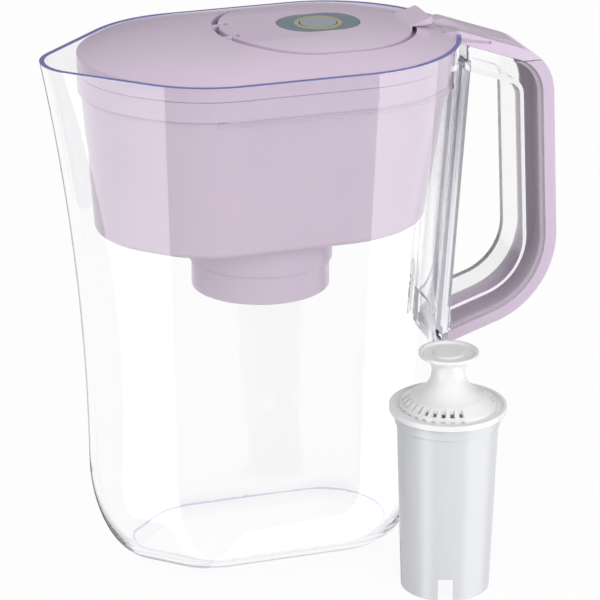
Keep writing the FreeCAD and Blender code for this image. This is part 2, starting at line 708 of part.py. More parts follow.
def make_reservoir():
    """Lilac hopper: drafted bowl with a rim band on the ledge and the filter sleeve under its floor."""
    body = new_body("reservoir")
    hopper_form(body, "outer", "0", "hopper_floor", "PartDesign::AdditiveLoft")
    rim = sketch_on(body, "rim", offset="ledge_height")
    oval(rim, "hopper_half_width + ledge_width", "hopper_rear + ledge_width", "hopper_nose + ledge_width")
    pad(body, "rim_band", rim, "hopper_rim - ledge_height")
    for name, start, end, radius in (
            ("sleeve", "sleeve_bottom", "sleeve_step", "sleeve_radius"),
            ("sleeve_top", "sleeve_step", "hopper_floor + hopper_wall", "sleeve_upper_radius")):
        sketch = sketch_on(body, name, offset=start)
        circle(sketch, "sleeve_x", "0", radius)
        pad(body, name + "_wall", sketch, "%s - %s" % (end, start))
    hopper_form(body, "inner", "hopper_wall", "hopper_floor + hopper_wall", "PartDesign::SubtractiveLoft")
    mouth = sketch_on(body, "mouth", offset="ledge_height")
    oval(mouth, "hopper_half_width - hopper_wall", "hopper_rear - hopper_wall", "hopper_nose - hopper_wall")
    pocket(body, "mouth_cut", mouth, "hopper_rim - ledge_height", upwards=True)
    chamber = sketch_on(body, "chamber", offset="sleeve_bottom + collar_thickness")
    circle(chamber, "sleeve_x", "0", "sleeve_radius - sleeve_wall")
    pocket(body, "chamber_bore", chamber, "hopper_floor + hopper_wall - sleeve_bottom", upwards=True)
    socket = sketch_on(body, "socket", offset="sleeve_bottom")
    circle(socket, "sleeve_x", "0", "socket_radius")
    pocket(body, "socket_bore", socket, "collar_thickness", upwards=True)
    return body


def crown_height(share, drop):
    return "rim_height + crown_rise * (1 - {0} * {0} * {0}) - {1}".format(share, drop)


def crown_sections(body, drop, inset):
    """Outlines of the lid's crown: scaled copies of its edge about crown_x, rising as they shrink."""
    half_width = "(lid_half_width - %s)" % inset
    rear = "(lid_rear - %s)" % inset
    sections = []
    for number, share in enumerate(CROWN_SHARES):
        sketch = sketch_on(body, "crown_%d" % number, offset=crown_height(share, drop))
        oval(sketch, "%s * %s" % (share, half_width), "crown_x + %s * (%s - crown_x)" % (share, rear),
             "%s * (lid_nose - %s)" % (share, inset),
             shoulder_x="%s * (shoulder_x + crown_x) - crown_x" % share,
             inset="%s * shoulder_inset" % share)
        sections.append(sketch)
    return sections


def crown_form(label, drop, inset):
    """The lid's outer form, or the same form dropped and drawn in: a skirt slab with the crown on it."""
    body = new_body(label)
    sections = crown_sections(body, drop, inset)
    skirt = sketch_on(body, "skirt", offset="rim_height - skirt_depth")
    oval(skirt, "lid_half_width - %s" % inset, "lid_rear - %s" % inset, "lid_nose - %s" % inset)
    pad(body, "skirt_slab", skirt, "skirt_depth - %s" % drop)
    loft(body, "crown", sections)
    return body


def trim_outside_slot(body, half_length, half_width):
    """Keep only what stands inside a slot outline round the flap's centre."""
    sketch = sketch_on(body, "trim", offset="rim_height + 2 * crown_rise")
    rectangle(sketch, "-2 * rim_rear", "2 * rim_rear", "-2 * rim_rear", "2 * rim_rear")
    slot(sketch, "flap_x", half_length, half_width)
    pocket(body, "trim_cut", sketch, "4 * crown_rise + skirt_depth")


HINGE_X = "(flap_x - flap_half_length + hinge_setback)"
CROWN_TOP = "(%s)" % crown_height(CROWN_SHARES[-1], "0")
HINGE_Z = "(%s - hinge_depth)" % CROWN_TOP
OPENING_X = "(flap_x - hinge_relief / 2)"
OPENING_LENGTH = "(flap_half_length + flap_end_gap + hinge_relief / 2)"
OPENING_WIDTH = "(flap_half_width + flap_side_gap)"
OPENING_FRONT = "(%s - %s)" % (OPENING_X, OPENING_LENGTH)


def hinge_rod(label, radius, half_length):
    """A cylinder along the flap's hinge line."""
    rod = doc.addObject("Part::Cylinder", label)
    rod.Placement = Placement(Vector(), Rotation(Vector(1, 0, 0), 90))
    rod.setExpression("Radius", expression(radius))
    rod.setExpression("Height", expression("2 * (%s)" % half_length))
    rod.setExpression("Placement.Base.x", expression(HINGE_X))
    rod.setExpression("Placement.Base.y", expression(half_length))
    rod.setExpression("Placement.Base.z", expression(HINGE_Z))
    doc.recompute()
    return rod


# Height of the tail's straight line at a distance from the jug's axis
TAIL_LINE = ("top_arc_z + handle_top_radius * cos(tail_slope)"
             " + (top_arc_x + handle_top_radius * sin(tail_slope) - (%s)) * tan(tail_slope)")


def cut_tail_grooves(form):
    """A shallow finger groove along each side of the tail."""
    start = "(rim_rear - tail_groove_start)"
    end = "(%s + tail_groove_length)" % start
    high_start = "(tail_top - tail_groove_drop)"
    high_end = "(%s - tail_groove_length * tan(tail_slope / 2))" % high_start
    for name, offset in (("groove_left", "handle_half_width"), ("groove_right", "-handle_half_width")):
        sketch = sketch_on(form, name, "XZ_Plane", offset=offset)
        polygon(sketch, [
            (start, high_start + " - tail_groove_height"), (end, high_end + " - tail_groove_height"),
            (end, high_end), (start, high_start)])
        pocket(form, name + "_cut", sketch, "2 * tail_groove_depth", symmetric=True)


def make_lid():
    """Crowned lid with a hollow underside, a seat round the refill opening, hinge ears and a handle tail."""
    form = crown_form("lid_form", "0", "0")
    layer(form, "tail", "0", "cover_depth", "tail_root", CHANNEL_LOW, "handle_half_width", pad)
    below = sketch_on(form, "below", "XZ_Plane")
    rectangle(below, "rim_rear + wall", "handle_reach + wall", "0", "seam_height")
    pocket(form, "below_seam", below, "3 * handle_half_width", symmetric=True)
    low = sketch_on(form, "low", "XZ_Plane")
    rectangle(low, "0", "rim_rear + wall", "0", "rim_height - skirt_depth")
    pocket(form, "below_skirt", low, "3 * handle_half_width", symmetric=True)
    layer(form, "tail_hollow", "lid_wall", "cover_depth + wall", "rim_rear + wall", CHANNEL_LOW,
          "handle_half_width - lid_wall", pocket)
    crest = sketch_on(form, "crest", "XZ_Plane")
    rectangle(crest, "tail_root", "handle_reach", "tail_top", "rim_height + 3 * crown_rise")
    pocket(form, "crest_cut", crest, "2 * handle_half_width", symmetric=True)
    trough = sketch_on(form, "trough", "YZ_Plane", offset="trough_start",
                       rise=TAIL_LINE % "trough_start", tilt="tail_slope - trough_run_out")
    circle(trough, "0", "trough_radius - trough_depth", "trough_radius")
    pocket(form, "thumb_trough", trough, "trough_length", upwards=True)
    cut_tail_grooves(form)
    hollow = crown_form("lid_hollow", "lid_wall", "lid_wall")
    well = sketch_on(hollow, "well", offset="seat_height - seat_thickness")
    slot(well, OPENING_X, OPENING_LENGTH + " + lid_wall", OPENING_WIDTH + " + lid_wall")
    pocket(hollow, "well_wall", well, "2 * crown_rise", upwards=True)
    opening = new_body("lid_opening")
    recess = sketch_on(opening, "recess", offset="seat_height")
    slot(recess, OPENING_X, OPENING_LENGTH, OPENING_WIDTH)
    pad(opening, "recess_block", recess, "2 * crown_rise")
    throat = sketch_on(opening, "throat", offset="rim_height - skirt_depth")
    slot(throat, "flap_x", "flap_half_length - seat_width", "flap_half_width - seat_width")
    pad(opening, "throat_block", throat, "seat_height - rim_height + skirt_depth")
    hinge_well = sketch_on(opening, "hinge_well", offset="rim_height - skirt_depth")
    rectangle(hinge_well, OPENING_FRONT + " + flap_end_gap / 2", OPENING_FRONT + " + well_length",
              "-well_half_width", "well_half_width")
    pad(opening, "hinge_well_block", hinge_well, "seat_height - rim_height + skirt_depth")
    ears = sketch_on(opening, "ears", offset=HINGE_Z + " - ear_drop")
    for low_y, high_y in (("ear_inner", "ear_outer"), ("-ear_outer", "-ear_inner")):
        rectangle(ears, OPENING_FRONT + " - lid_wall", HINGE_X + " + ear_reach", low_y, high_y)
    pocket(opening, "ear_gaps", ears, "2 * crown_rise", upwards=True)
    shell = boolean("Part::Cut", "lid_shell", form, hollow)
    opened = boolean("Part::Cut", "lid_opened", shell, opening)
    bore = hinge_rod("lid_hinge_bore", "pin_radius + pin_clearance", "ear_outer + ear_gap")
    return boolean("Part::Cut", "lid", opened, bore)


def make_refill_flap():
    """Shallow tray with the crown of the lid, a boss for the indicator, hinge pins and a thumb tab."""
    form = crown_form("flap_form", "-flap_proud", "0")
    trim_outside_slot(form, "flap_half_length", "flap_half_width")
    base = sketch_on(form, "base", offset="seat_height + seat_gap")
    rectangle(base, "-rim_rear", "rim_rear", "-rim_rear", "rim_rear")
    pocket(form, "base_cut", base, "2 * skirt_depth")
    rear = "(flap_x + flap_half_length)"
    tip = rear + " + tab_reach"
    tab_floor = "(%s + tab_lift)" % crown_height(TAB_SHARE, "0")
    tab = sketch_on(form, "tab", "XZ_Plane")
    polygon(tab, [
        (rear + " - tab_root", tab_floor), (rear + " + tab_reach / 2", tab_floor),
        (tip, tab_floor + " + tab_lift"), (tip + " + tab_lift", "tab_ridge - tab_lift"),
        (tip + " - tab_lift", "tab_ridge"), (rear + " - tab_lift", tab_floor + " + 2 * tab_lift"),
        (rear + " - tab_root", tab_floor + " + tab_lift")])
    pad(form, "thumb_tab", tab, "2 * tab_half_width", symmetric=True)
    notches = sketch_on(form, "notches", offset="seat_height")
    for low_y, high_y in (("ear_inner - ear_gap", "ear_outer + ear_gap"),
                          ("-ear_outer - ear_gap", "-ear_inner + ear_gap")):
        rectangle(notches, OPENING_FRONT, HINGE_X + " + ear_reach + 3 * ear_gap", low_y, high_y)
    pocket(form, "ear_notches", notches, "2 * crown_rise", upwards=True)
    recess = sketch_on(form, "recess", offset="plate_top - plate_thickness")
    slot(recess, "plate_x", "plate_half_length + plate_gap", "plate_half_width + plate_gap")
    pocket(form, "plate_recess", recess, "2 * crown_rise", upwards=True)
    window = sketch_on(form, "window", offset="seat_height")
    slot(window, "plate_x", "plate_half_length - plate_ledge", "plate_half_width - plate_ledge")
    pocket(form, "pod_window", window, "2 * crown_rise", upwards=True)
    hollow = crown_form("flap_hollow", "flap_skin - flap_proud", "0")
    trim_outside_slot(hollow, "flap_half_length - flap_rim", "flap_half_width - flap_rim")
    boss = sketch_on(hollow, "boss", offset="plate_top - boss_depth")
    slot(boss, "plate_x", "plate_half_length + boss_margin", "plate_half_width + boss_margin")
    pocket(hollow, "boss_cut", boss, "2 * crown_rise", upwards=True)
    tray = boolean("Part::Cut", "flap_tray", form, hollow)
    pins = hinge_rod("flap_pins", "pin_radius", "ear_outer")
    return boolean("Part::Fuse", "refill_flap", tray, pins)


# Depths below the indicator's face, from the plate down to the back cover
PLATE_BASE = "(plate_top - plate_thickness)"
POD_LENGTH = "(plate_half_length - plate_ledge - plate_gap)"
POD_WIDTH = "(plate_half_width - plate_ledge - plate_gap)"
BOARD_TOP = "(%s - board_drop)" % PLATE_BASE
BOARD_BASE = "(%s - board_thickness)" % BOARD_TOP
POD_BASE = "(%s - pod_depth)" % PLATE_BASE
BOARD_LENGTH = "(%s - pod_wall - board_gap)" % POD_LENGTH
BOARD_WIDTH = "(%s - pod_wall - board_gap)" % POD_WIDTH


def slot_plate(label, half_length, half_width, base, thickness):
    """A flat slot-shaped plate round the indicator's centre."""
    body = new_body(label)
    sketch = sketch_on(body, "outline", offset=base)
    slot(sketch, "plate_x", half_length, half_width)
    pad(body, "plate", sketch, thickness)
    return body


def disc(label, radius, base, thickness, bore=None):
    """A disc or ring round the indicator's centre."""
    body = new_body(label)
    sketch = sketch_on(body, "outline", offset=base)
    circle(sketch, "plate_x", "0", radius)
    if bore:
        circle(sketch, "plate_x", "0", bore)
    pad(body, "disc", sketch, thickness)
    return body


def make_indicator():
    """Face plate, light ring, button and the sealed pod with its board, switch, lights and coin cell."""
    housing = slot_plate("indicator_housing", POD_LENGTH, POD_WIDTH, POD_BASE, "pod_depth")
    flange = sketch_on(housing, "flange", offset="plate_top - boss_depth - pod_flange")
    slot(flange, "plate_x", "plate_half_length + plate_gap", "plate_half_width + plate_gap")
    pad(housing, "flange_rim", flange, "pod_flange")
    inside = sketch_on(housing, "inside", offset=POD_BASE)
    slot(inside, "plate_x", POD_LENGTH + " - pod_wall", POD_WIDTH + " - pod_wall")
    pocket(housing, "inside_bore", inside, "pod_depth", upwards=True)
    shelf = sketch_on(housing, "shelf", offset=BOARD_BASE + " - pod_wall")
    slot(shelf, "plate_x", POD_LENGTH + " - pod_wall / 2", POD_WIDTH + " - pod_wall / 2")
    slot(shelf, "plate_x", POD_LENGTH + " - 2 * pod_wall", POD_WIDTH + " - 2 * pod_wall")
    pad(housing, "board_shelf", shelf, "pod_wall")

    plate = slot_plate("indicator_plate", "plate_half_length", "plate_half_width", PLATE_BASE,
                       "plate_thickness")
    hole = sketch_on(plate, "hole", offset=PLATE_BASE)
    circle(hole, "plate_x", "0", "ring_radius + plate_gap / 4")
    pocket(plate, "ring_hole", hole, "plate_thickness", upwards=True)

    ring = disc("indicator_light_ring", "ring_radius", PLATE_BASE, "plate_thickness",
                bore="ring_radius - ring_width")
    light_guide = sketch_on(ring, "guide", offset=BOARD_TOP + " + led_height + fit_gap")
    circle(light_guide, "plate_x", "0", "ring_radius")
    circle(light_guide, "plate_x", "0", "ring_radius - ring_width / 2")
    pad(ring, "light_guide", light_guide, "board_drop - led_height - fit_gap + plate_thickness / 2")

    button = disc("indicator_button", "ring_radius - ring_width - button_gap", PLATE_BASE + " - fit_gap",
                  "plate_thickness + button_rise + fit_gap")
    stem = sketch_on(button, "stem", offset=BOARD_TOP + " + led_height + button_travel + fit_gap")
    circle(stem, "plate_x", "0", "dome_radius / 2")
    pad(button, "press_stem", stem, "board_drop - led_height - button_travel")

    board = slot_plate("indicator_circuit_board", BOARD_LENGTH, BOARD_WIDTH, BOARD_BASE, "board_thickness")
    switch = disc("indicator_dome_switch", "dome_radius", BOARD_TOP, "led_height")
    leds = new_body("indicator_leds")
    lamp = sketch_on(leds, "lamps", offset=BOARD_TOP)
    middle = "(ring_radius - ring_width / 4)"
    for number in range(LEDS):
        turn = 360.0 * number / LEDS
        along = "plate_x + %s * cos(%s)" % (middle, turn)
        across = "%s * sin(%s)" % (middle, turn)
        rectangle(lamp, "%s - led_size / 2" % along, "%s + led_size / 2" % along,
                  "%s - led_size / 2" % across, "%s + led_size / 2" % across)
    leds.AllowCompound = True
    pad(leds, "lamp_bodies", lamp, "led_height")
    chip = new_body("indicator_timer_chip")
    chip_sketch = sketch_on(chip, "outline", offset=BOARD_BASE + " - chip_height")
    chip_side = "plate_x + cell_radius + clip_thickness"
    rectangle(chip_sketch, chip_side, chip_side + " + chip_size / 2", "-chip_size / 2", "chip_size / 2")
    pad(chip, "case", chip_sketch, "chip_height")

    clip = make_battery_clip()
    cell_base = BOARD_BASE + " - 2 * clip_thickness - cell_height - fit_gap"
    cell = disc("indicator_battery", "cell_radius", cell_base, "cell_height")
    gasket = slot_plate("indicator_gasket", POD_LENGTH, POD_WIDTH, POD_BASE + " - gasket_thickness",
                        "gasket_thickness")
    seal_hole = sketch_on(gasket, "hole", offset=POD_BASE + " - gasket_thickness")
    slot(seal_hole, "plate_x", POD_LENGTH + " - pod_wall", POD_WIDTH + " - pod_wall")
    pocket(gasket, "seal_hole", seal_hole, "gasket_thickness", upwards=True)
    back = slot_plate("indicator_back_cover", POD_LENGTH, POD_WIDTH,
                      POD_BASE + " - gasket_thickness - back_thickness", "back_thickness")
    return [housing, plate, ring, button, board, switch, leds, chip, clip, cell, gasket, back]


def make_battery_clip():
    """Spring strip under the board that wraps one side of the coin cell."""
    body = new_body("battery_clip")
    sketch = sketch_on(body, "profile", "XZ_Plane")
    left = "plate_x - cell_radius - clip_thickness - fit_gap"
    top = BOARD_BASE
    low = "%s - 2 * clip_thickness - cell_height - 2 * fit_gap" % BOARD_BASE
    upper_end = "plate_x + cell_radius / 2"
    lower_end = "plate_x - cell_radius / 2"
    polygon(sketch, [
        (left, top), (upper_end, top), (upper_end, top + " - clip_thickness"),
        (left + " + clip_thickness", top + " - clip_thickness"), (left + " + clip_thickness", low),
        (lower_end, low), (lower_end, low + " - clip_thickness"), (left, low + " - clip_thickness")])
    pad(body, "strip", sketch, "cell_radius", symmetric=True)
    return body


def stand_on_table(body):
    """Move a cartridge piece, modelled round its own axis, to where the cartridge stands."""
    body.setExpression("Placement.Base.x", expression("cartridge_x"))
    body.setExpression("Placement.Base.y", expression("-cartridge_y"))
    doc.recompute()
    return body


def turned(label, profile):
    """A cartridge piece turned from a closed profile of radius and height."""
    body = new_body(label)
    sketch = sketch_on(body, "profile", "XZ_Plane")
    polygon(sketch, profile)
    revolve(body, "turned", sketch)
    return body


def cup_radius(height):
    return "(cup_low_radius + (cup_top_radius - cup_low_radius) * (%s) / cup_height)" % height


def make_cartridge_cup():
    """Tapered white cup with a raised outlet floor and notches in its standing skirt."""
    floor_top = "cup_floor + cup_floor_thickness"
    body = turned("cartridge_cup", [
        ("0", "cup_floor"), (cup_radius("cup_floor") + " - cup_wall", "cup_floor"),
        ("cup_low_radius - cup_wall", "0"), ("cup_low_radius", "0"),
        (cup_radius("cup_height - collar_height"), "cup_height - collar_height"),
        ("collar_radius", "cup_height - collar_height"), ("collar_radius", "cup_height"),
        ("cup_top_radius - cup_wall", "cup_height"), (cup_radius(floor_top) + " - cup_wall", floor_top),
        ("0", floor_top)])
    notch = sketch_on(body, "notch", turn=Rotation(Vector(0, 0, 1), FOOT_NOTCH_TURN))
    rectangle(notch, "-foot_notch_width / 2", "foot_notch_width / 2", "-2 * cup_low_radius", "0")
    cut = pocket(body, "foot_notch", notch, "foot_notch_height", upwards=True)
    polar(body, "foot_notches", [cut], FOOT_NOTCHES)
    hole = sketch_on(body, "outlet", offset="cup_floor")
    circle(hole, "outlet_circle", "0", "outlet_radius")
    drilled = pocket(body, "outlet_hole", hole, "cup_floor_thickness", upwards=True)
    polar(body, "outlets", [drilled], OUTLETS)
    return body


SEAL_TOP = "(cup_height + seal_thickness)"
FLANGE_TOP = "(%s + flange_thickness)" % SEAL_TOP
PLUG_RADIUS = "(%s - cup_wall - media_gap)" % cup_radius("cup_height - plug_depth")


def flared(sketch, corners, flares):
    """A closed outline in which the sides named in flares are hollow arcs with their centre at a height."""
    places = [Vector(value(x), value(y), 0) for x, y in corners]
    count = len(corners)
    ends = []
    for i in range(count):
        start = places[i]
        end = places[(i + 1) % count]
        if i in flares:
            rise = value(flares[i])
            lean = end.dot(end) - start.dot(start) - 2 * rise * (end.y - start.y)
            middle = lean / (2 * (end.x - start.x))
            centre = Vector(middle, rise, 0)
            first, last = [math.degrees(math.atan2(p.y - rise, p.x - middle)) % 360 for p in (end, start)]
            sketch.addGeometry(arc(centre, centre.distanceToPoint(start), first, last), False)
            ends.append((2, 1))
        else:
            sketch.addGeometry(Part.LineSegment(start, end), False)
            ends.append((1, 2))
    for i in range(count):
        following = (i + 1) % count
        sketch.addConstraint(Sketcher.Constraint("Coincident", i, ends[i][1], following, ends[following][0]))
    for i, (x, y) in enumerate(corners):
        place_point(sketch, i, ends[i][0], x, y)
    for i, height in flares.items():
        constrain(sketch, height, "DistanceY", -1, 1, i, 3)


def make_cartridge_cap():
    """Flanged cap: slotted dome whose flank sweeps up into a neck and out again into a dished pull knob."""
    body = new_body("cartridge_cap")
    plug_bore = PLUG_RADIUS + " - plug_wall"
    groove = "(%s - flange_groove)" % FLANGE_TOP
    dome_edge = "(%s + dome_step)" % FLANGE_TOP
    dome_top = "(%s + dome_rise)" % FLANGE_TOP
    neck = "(%s + neck_rise)" % FLANGE_TOP
    saucer = "(%s + knob_rise)" % FLANGE_TOP
    knob_top = "(%s + knob_rim)" % saucer
    dish = "(%s - knob_dish)" % knob_top
    profile = sketch_on(body, "profile", "XZ_Plane")
    corners = [
        (PLUG_RADIUS, "cup_height - plug_depth"), (PLUG_RADIUS, SEAL_TOP), ("flange_radius", SEAL_TOP),
        ("flange_radius", FLANGE_TOP), ("flange_radius - flange_lip", FLANGE_TOP),
        ("flange_radius - flange_lip - flange_groove / 2", groove), ("dome_radius_low", groove),
        ("dome_radius_low", dome_edge), ("dome_radius_top", dome_top), ("neck_radius", neck),
        ("knob_radius", saucer), ("knob_radius", knob_top), ("knob_radius - knob_lip", knob_top),
        ("knob_radius - knob_lip - knob_dish / 2", dish), ("knob_button + knob_dish / 2", dish),
        ("knob_button", knob_top + " - knob_dish / 3"), ("0", knob_top + " - knob_dish / 3"),
        ("0", "%s + ceiling_rise" % FLANGE_TOP), ("neck_radius", "%s + ceiling_rise" % FLANGE_TOP),
        ("dome_radius_top - cap_wall / 2", dome_top + " - cap_wall"),
        (plug_bore, FLANGE_TOP + " - flange_groove"), (plug_bore, "cup_height - plug_depth")]
    neck_corner = corners.index(("neck_radius", neck))
    flared(profile, corners, {neck_corner - 1: neck, neck_corner: neck})
    revolve(body, "turned", profile)
    first_turn = Rotation(Vector(0, 0, 1), SLOT_GROUP_START)
    cut = sketch_on(body, "slot", offset=FLANGE_TOP, turn=first_turn)
    rectangle(cut, "slot_inner", "slot_outer", "-slot_width / 2", "slot_width / 2")
    first_slot = pocket(body, "inlet_slot", cut, "neck_rise", upwards=True)
    spread_in_groups(body, "inlet", first_slot)
    vent = sketch_on(body, "vent", offset=groove, turn=first_turn)
    rectangle(vent, "vent_inner", "dome_radius_low + cap_wall / 3", "-vent_width / 2", "vent_width / 2")
    first_vent = pocket(body, "vent_notch", vent, "vent_height", upwards=True)
    spread_in_groups(body, "vent", first_vent)
    return body


def spread_in_groups(body, name, original):
    """Repeat a cut within a group of slots and in each group round the cap."""
    group = body.newObject("PartDesign::MultiTransform", name + "_groups")
    group.Originals = [original]
    axis = [item for item in body.Origin.OriginFeatures if item.Role == "Z_Axis"][0]
    steps = []
    for step_name, count, angle in (("in_group", SLOTS_PER_GROUP, SLOT_GROUP_ANGLE),
                                    ("round_cap", SLOT_GROUPS, 360.0)):
        step = body.newObject("PartDesign::PolarPattern", name + "_" + step_name)
        step.Axis = (axis, [""])
        step.Angle = angle
        step.Occurrences = count
        steps.append(step)
    group.Transformations = steps
    body.Tip = group
    doc.recompute()


def make_cartridge():
    floor_top = "(cup_floor + cup_floor_thickness)"
    screen_top = "(%s + screen_thickness)" % floor_top
    media_top = "(cup_height - plug_depth - screen_thickness)"
    low_inner = "(%s - cup_wall - media_gap)"
    seal = turned("cartridge_seal", [
        ("cup_top_radius - cup_wall", "cup_height"), ("seal_radius", "cup_height"),
        ("seal_radius", SEAL_TOP), ("cup_top_radius - cup_wall", SEAL_TOP)])
    lower = turned("cartridge_lower_screen", [
        ("0", floor_top), (low_inner % cup_radius(floor_top), floor_top),
        (low_inner % cup_radius(floor_top), screen_top), ("0", screen_top)])
    media = turned("cartridge_media", [
        ("0", screen_top), (low_inner % cup_radius(screen_top), screen_top),
        (low_inner % cup_radius(media_top), media_top), ("0", media_top)])
    upper = turned("cartridge_upper_screen", [
        ("0", media_top), (low_inner % cup_radius(media_top), media_top),
        (low_inner % cup_radius(media_top), "cup_height - plug_depth"), ("0", "cup_height - plug_depth")])
    pieces = [make_cartridge_cup(), make_cartridge_cap(), seal, lower, media, upper]
    return [stand_on_table(piece) for piece in pieces]


def check_and_write(pieces):
    """Stop at any failed feature or bad solid, then write one file for each piece."""
    for item in doc.Objects:
        if "Invalid" in item.State or "Error" in item.State:
            raise ValueError(item.Label + " failed: " + str(item.State))
    for piece in pieces:
        shape = piece.Shape
        if shape.isNull() or not shape.isValid() or not shape.Solids:
            raise ValueError(piece.Label + " has no valid solid")
    os.makedirs("parts", exist_ok=True)
    for piece in pieces:
        print(piece.Label, len(piece.Shape.Solids), round(piece.Shape.Volume, 1))
        piece.Shape.exportStep("parts/" + piece.Label + ".step")


parts = [make_pitcher_body(), make_handle_frame(), make_handle_cover(), make_reservoir(), make_lid(),
         make_refill_flap()]
parts += make_indicator()
parts += make_cartridge()
check_and_write(parts)
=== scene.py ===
import bmesh
import bpy
import json
import math
import numpy as np
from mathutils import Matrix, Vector
from mathutils.kdtree import KDTree

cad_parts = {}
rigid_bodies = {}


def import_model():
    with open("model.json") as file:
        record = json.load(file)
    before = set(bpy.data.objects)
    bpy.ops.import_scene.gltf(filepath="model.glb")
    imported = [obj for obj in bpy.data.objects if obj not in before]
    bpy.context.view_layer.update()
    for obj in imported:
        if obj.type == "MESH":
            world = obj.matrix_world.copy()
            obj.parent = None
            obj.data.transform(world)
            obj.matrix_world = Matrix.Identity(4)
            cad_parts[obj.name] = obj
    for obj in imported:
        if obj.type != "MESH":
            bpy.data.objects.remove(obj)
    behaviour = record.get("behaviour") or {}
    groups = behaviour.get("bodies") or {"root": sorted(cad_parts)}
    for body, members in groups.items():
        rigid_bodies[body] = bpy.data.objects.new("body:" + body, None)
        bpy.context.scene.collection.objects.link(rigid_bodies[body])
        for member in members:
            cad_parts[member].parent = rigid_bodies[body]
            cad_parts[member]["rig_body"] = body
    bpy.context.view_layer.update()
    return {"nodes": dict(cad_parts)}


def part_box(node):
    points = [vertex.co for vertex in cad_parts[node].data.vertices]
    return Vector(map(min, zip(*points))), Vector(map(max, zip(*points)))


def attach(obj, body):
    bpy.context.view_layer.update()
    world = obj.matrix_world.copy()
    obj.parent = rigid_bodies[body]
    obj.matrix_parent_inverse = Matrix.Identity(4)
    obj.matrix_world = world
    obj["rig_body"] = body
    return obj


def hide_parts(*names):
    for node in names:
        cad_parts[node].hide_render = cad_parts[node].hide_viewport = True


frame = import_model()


# Jug: one clear moulding with the spout, the ledge of the hopper and the rails that carry the handle.
# Styrene-acrylonitrile from a polished mould is glass-clear through the wall. Light guided along the
# wall comes out at the rim; the rim's top face is painted violet and less clear for it, a painted glow.
MM = 0.001
STYRENE_IOR = 1.5
FLOW_MARK = 14 * MM
MOST_HAZE = 0.02
GLOW_STARTS_BELOW = 0.4 * MM
GLOW_WHOLE_BELOW = 0.1 * MM
GLOW_CLEARNESS = 0.3
WALL_TINT = "#8C88C4"


def colour(hex_text):
    """Linear RGBA of an sRGB hex colour."""
    parts = [int(hex_text[i:i + 2], 16) / 255 for i in (1, 3, 5)]
    return [p / 12.92 if p <= 0.04045 else ((p + 0.055) / 1.055) ** 2.4 for p in parts] + [1.0]


def node(tree, kind, inputs=None, **settings):
    """Add a node, set its properties, and set or link its inputs."""
    made = tree.nodes.new(kind)
    for name, setting in settings.items():
        setattr(made, name, setting)
    for socket, source in (inputs or {}).items():
        if isinstance(source, bpy.types.NodeSocket):
            tree.links.new(source, made.inputs[socket])
        else:
            made.inputs[socket].default_value = source
    return made


def new_material(name):
    """An empty node material."""
    material = bpy.data.materials.new(name)
    material.use_nodes = True
    material.node_tree.nodes.clear()
    return material, material.node_tree


def clear_plastic(name, face, edge, glow_height, density):
    """Polished clear plastic: slow flow marks in the gloss, and above a height in metres the edge colour, a
    painted glow.
    """
    material, tree = new_material(name)
    place = node(tree, "ShaderNodeTexCoord").outputs["Object"]
    flow = node(tree, "ShaderNodeTexNoise", {"Vector": place, "Scale": 1 / FLOW_MARK, "Detail": 3.0})
    gloss = node(tree, "ShaderNodeMapRange", {
        "Value": flow.outputs["Fac"], "To Min": 0.0, "To Max": MOST_HAZE})
    height = node(tree, "ShaderNodeSeparateXYZ", {0: place}).outputs["Z"]
    # Painted glow: towards the rim the wall turns to the edge colour and less clear, for light guided along
    # it.
    rim_glow_share = node(tree, "ShaderNodeMapRange", {
        "Value": height, "From Min": glow_height - GLOW_STARTS_BELOW,
        "From Max": glow_height - GLOW_WHOLE_BELOW})
    tone = node(tree, "ShaderNodeMix", {
        "Factor": rim_glow_share.outputs["Result"], "A": colour(face), "B": colour(edge)}, data_type="RGBA")
    clear = node(tree, "ShaderNodeMapRange", {
        "Value": rim_glow_share.outputs["Result"], "To Min": 1.0, "To Max": GLOW_CLEARNESS})
    shader = node(tree, "ShaderNodeBsdfPrincipled", {
        "Base Color": tone.outputs[2], "Roughness": gloss.outputs["Result"], "IOR": STYRENE_IOR,
        "Transmission Weight": clear.outputs["Result"]})
    tint = node(tree, "ShaderNodeVolumeAbsorption", {"Color": colour(WALL_TINT), "Density": density})
    node(tree, "ShaderNodeOutputMaterial", {
        "Surface": shader.outputs["BSDF"], "Volume": tint.outputs["Volume"]})
    return material


# A curved wall is smoothed by a bowl fitted through the points near each corner. Points on the corner's
# side face within 30 degrees of it, and at least nine lie all round it, out to a tenth of the reach or more.
# The bowl stays within 0.05 mm of them and tilts the corner by 12 degrees at most.
SAME_SIDE = math.cos(math.radians(30))
FEWEST_POINTS = 9
EDGE_SHARE = 0.1
FIT_ERROR = 0.05 * MM
MOST_TILT = math.cos(math.radians(12))
CENTRE_WEIGHT = 1.01
NORMAL_STEPS = 500
NEARLY_LEVEL = 0.9


